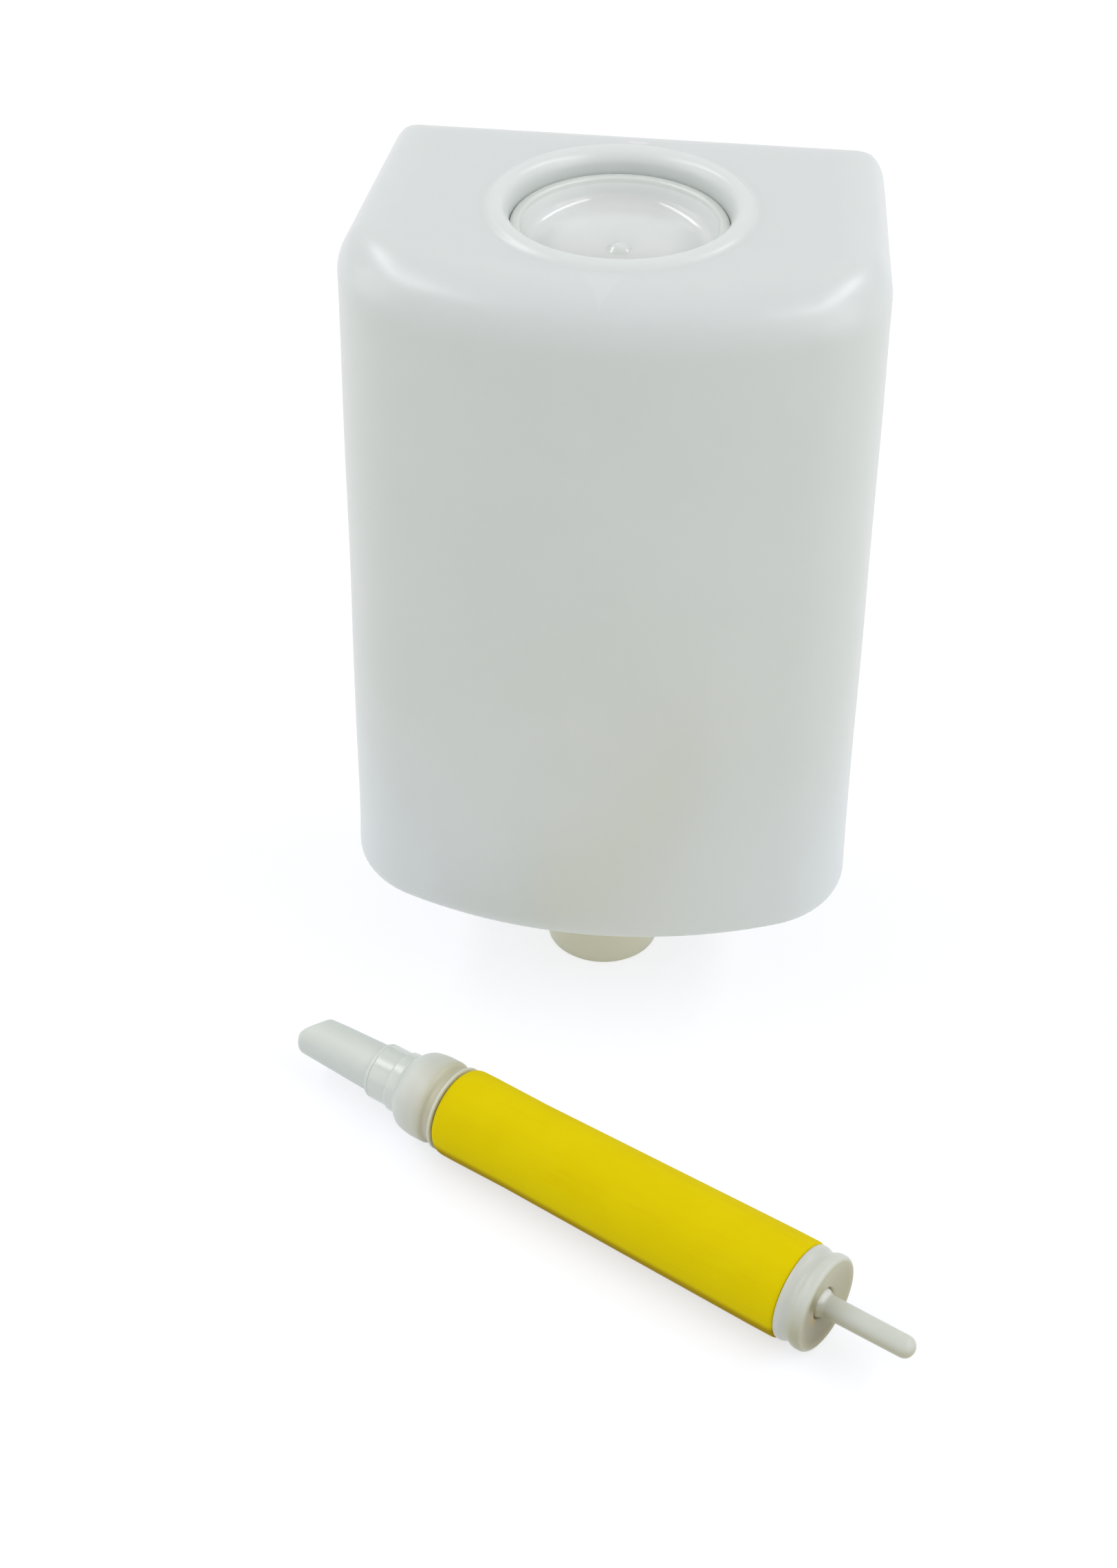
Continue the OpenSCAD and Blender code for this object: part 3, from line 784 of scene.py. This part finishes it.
# ---------------------------------------------------------------- valve
def find_valve():
    """The valve's frame: Z along its axis from inlet to outlet, X down, and the origin at the
    tube's inlet end."""
    slide = next(joint for joint in frame["joints"] if joint["name"] == "pin_slide")
    collar = next(mount for mount in frame["record"]["mounts"] if mount["name"] == "valve_collar")
    axis = Vector(slide["axis"]).normalized()
    down = (axis * axis.z - UP).normalized()
    side = axis.cross(down)
    on_axis = Vector(collar["pos_m"])
    tube = frame["nodes"]["squeeze_tube"].data.vertices
    start = min((vert.co - on_axis).dot(axis) for vert in tube)
    turn = Matrix((down, side, axis)).transposed().to_4x4()
    return Matrix.Translation(on_axis + axis * start) @ turn


def make_tube(place, material):
    """The rubber tube, a little wider at the outlet end than at the inlet end."""
    in_r, out_r = 9.4, 10.1
    outline = [(in_r - TUBE_WALL, 0), (in_r, 0, 2.1), (in_r + 0.06, 5), (in_r - 0.05, 18),
               (out_r - 0.15, TUBE_LEN - 18), (out_r, TUBE_LEN - 6), (out_r, TUBE_LEN, 1.0),
               (out_r - TUBE_WALL, TUBE_LEN), (out_r - TUBE_WALL, TUBE_LEN - 15),
               (in_r - TUBE_WALL, INLET_PLUG_LEN)]
    mesh = turned(outline, 128, place)
    finished(mesh, "yellow_tube", "valve", material, "squeeze_tube")


def make_spigot(place, material):
    """The inlet spigot: cut tip, stepped collar, flange, groove and lip, and the barbed plug."""
    passage_r, root_r, ball_r, cage_r, cage_seat, bands = 2.6, 5.2, 5.0, 5.4, 1.89, 12
    cone = [(TIP_R + (root_r - TIP_R) * band / bands, TIP_END + (COLLAR - TIP_END) * band / bands)
            for band in range(1, bands + 1)]
    collar = [(SPIGOT_COLLAR_R, COLLAR, 0.35), (SPIGOT_COLLAR_R, COLLAR + 0.7, 0.12),
              (5.85, COLLAR + 0.85), (6.05, COLLAR + 1.0, 0.12), (6.05, COLLAR_MID - 0.1, 0.1),
              (6.5, COLLAR_MID + 0.1, 0.25), (6.6, FLANGE, 0.5)]
    flange = [(8.2, FLANGE + 0.9, 1.2), (FLANGE_R, FLANGE + 3.6, 2.0), (FLANGE_R, -3.1, 0.5)]
    groove = [(8.2, -2.5, 0.3), (8.2, LIP, 0.2)]
    lip = [(9.1, LIP + 0.2, 0.2), (9.1, 0, 0.2)]
    plug = [(INLET_PLUG_R, 0)]
    for barb in (INLET_PLUG_LEN / 3, 2 * INLET_PLUG_LEN / 3):
        plug += [(INLET_PLUG_R, barb), (INLET_PLUG_R - BARB_DEPTH, barb),
                 (INLET_PLUG_R, barb + BARB_DEPTH)]
    plug += [(INLET_PLUG_R, INLET_PLUG_LEN, 0.3)]
    inside = [(cage_r, INLET_PLUG_LEN), (cage_r, cage_seat), (ball_r, cage_seat), (ball_r, -9.8),
              (passage_r, -12.2)] + [(passage_r, level) for radius, level in reversed(cone)]
    outline = [(passage_r, TIP_END, 0.3), (TIP_R, TIP_END, 1.2)]
    mesh = turned(outline + cone + collar + flange + groove + lip + plug + inside, 96)
    slant_tip(mesh)
    bmesh.ops.transform(mesh, matrix=place, verts=mesh.verts)
    finished(mesh, "inlet_spigot_body", "valve", material, "inlet_spigot")


def slant_tip(mesh):
    """Draws the upper side of the tip's end back in a soft S, as its slanting cut does."""
    turn, cut_len, reach, low = math.radians(136), 3.2 * MM, 8 * MM, -1.2 * MM
    for vert in mesh.verts:
        fade = 1 - (vert.co.z - TIP_END * MM) / reach
        side = vert.co.x * math.cos(turn) + vert.co.y * math.sin(turn)
        side = min(1, max(0, (side - low) / (TIP_R * MM - low)))
        if fade > 0:
            vert.co.z += cut_len * fade * side * side * (3 - 2 * side)


def make_outlet_plug(place, material):
    """The outlet plug: barbed inside the tube, waisted outside it, with a rounded and dished end."""
    barb_pitch, chamber_end = 5, HEAD_END - 4.0
    plug = [(CHAMBER_R, PLUG_START), (OUTLET_PLUG_R, PLUG_START, 0.3)]
    for barb in (PLUG_START + barb_pitch, PLUG_START + 2 * barb_pitch):
        plug += [(OUTLET_PLUG_R, barb - BARB_DEPTH), (OUTLET_PLUG_R - BARB_DEPTH, barb),
                 (OUTLET_PLUG_R, barb)]
    head = [(OUTLET_PLUG_R, TUBE_LEN), (9.8, TUBE_LEN, 0.2), (9.95, TUBE_LEN + 1.0, 0.6),
            (9.1, TUBE_LEN + 2.4, 1.0), (HEAD_R, TUBE_LEN + 3.8, 0.9), (HEAD_R, HEAD_END, 1.3)]
    face = [(8.9, HEAD_END, 0.5), (6.4, HEAD_END - 0.55, 1.5), (3.4, DISH + 0.1, 0.4),
            (3.1, DISH - 0.9)]
    orifice = [(ORIFICE_R, DISH - 1.7), (ORIFICE_R, chamber_end), (CHAMBER_R, chamber_end)]
    mesh = turned(plug + head + face + orifice, 128, place)
    finished(mesh, "outlet_end", "valve", material, "outlet_plug")


def make_pin(place, material):
    """The outlet pin: shaft, sealing cone, knuckle and round-ended stem."""
    tail, shaft_r, knuckle_r, seal = 74.0, 1.6, 3.0, DISH - 0.6 + 0.05
    outline = [(0, tail), (shaft_r, tail, 0.3), (shaft_r, seal - 1.0), (ORIFICE_R, seal - 1.0),
               (knuckle_r, seal - 0.4), (knuckle_r, DISH - 0.1, 0.3), (2.65, DISH + 0.5, 0.4),
               (2.3, DISH + 1.1, 0.6), (2.25, PIN_TIP, 2.0), (0, PIN_TIP)]
    mesh = turned(outline, 64, place)
    finished(mesh, "pin_stem", "pin", material, "outlet_pin")


def make_spring(place, material):
    """The return spring, of round wire with a flat turn at each end. The pin's slide squashes it."""
    wire_r, coil_r, length, turns = 0.3 * MM, 2.7 * MM, SPRING_LEN * MM, 5
    start, steps = 75.7 * MM, 36
    flat_rise = 2 * wire_r
    open_turns = turns - 2
    open_rise = (length - 2 * wire_r - 2 * flat_rise) / open_turns
    mesh = bmesh.new()
    bmesh.ops.create_circle(
        mesh, cap_ends=True, segments=12, radius=wire_r,
        matrix=Matrix.Translation((coil_r, 0, start + wire_r)) @ Matrix.Rotation(QUARTER_TURN, 4, "X"))
    end = mesh.faces[:]
    for rise, count in ((flat_rise, 1), (open_rise, open_turns), (flat_rise, 1)):
        swept = bmesh.ops.spin(mesh, geom=end, cent=(0, 0, 0), axis=UP, angle=FULL_TURN * count,
                               steps=steps * count, dvec=(0, 0, rise / steps))
        end = [part for part in swept["geom_last"] if isinstance(part, bmesh.types.BMFace)]
    bmesh.ops.transform(mesh, matrix=place, verts=mesh.verts)
    spring = finished(mesh, "return_spring", "valve", material, "outlet_spring")
    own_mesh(spring)


def dress(node, material):
    """Gives a CAD node its finish."""
    slots = frame["nodes"][node].material_slots
    for held in slots:
        held.material = material
    if not slots:
        frame["nodes"][node].data.materials.append(material)


# ---------------------------------------------------------------- scene
bpy.context.scene.view_settings.view_transform = "Standard"
aim_camera()
light_world()
light_lamps()
lay_floor()

valve = find_valve()
cloudy = cloudy_spigot(valve)
ivory = ivory_plastic(valve)
steel = spring_steel()

make_bottle(natural_plastic())
make_lid(lid_plastic())
make_tube(valve, yellow_rubber(valve))
make_spigot(valve, cloudy)
make_outlet_plug(valve, ivory)
make_pin(valve, ivory)
make_spring(valve, steel)
dress("neck_bush", bush_rubber())
dress("inlet_ball", ball_glass())
dress("ball_cage", cloudy)
dress("pin_guide", ivory)
dress("spring_washer", steel)
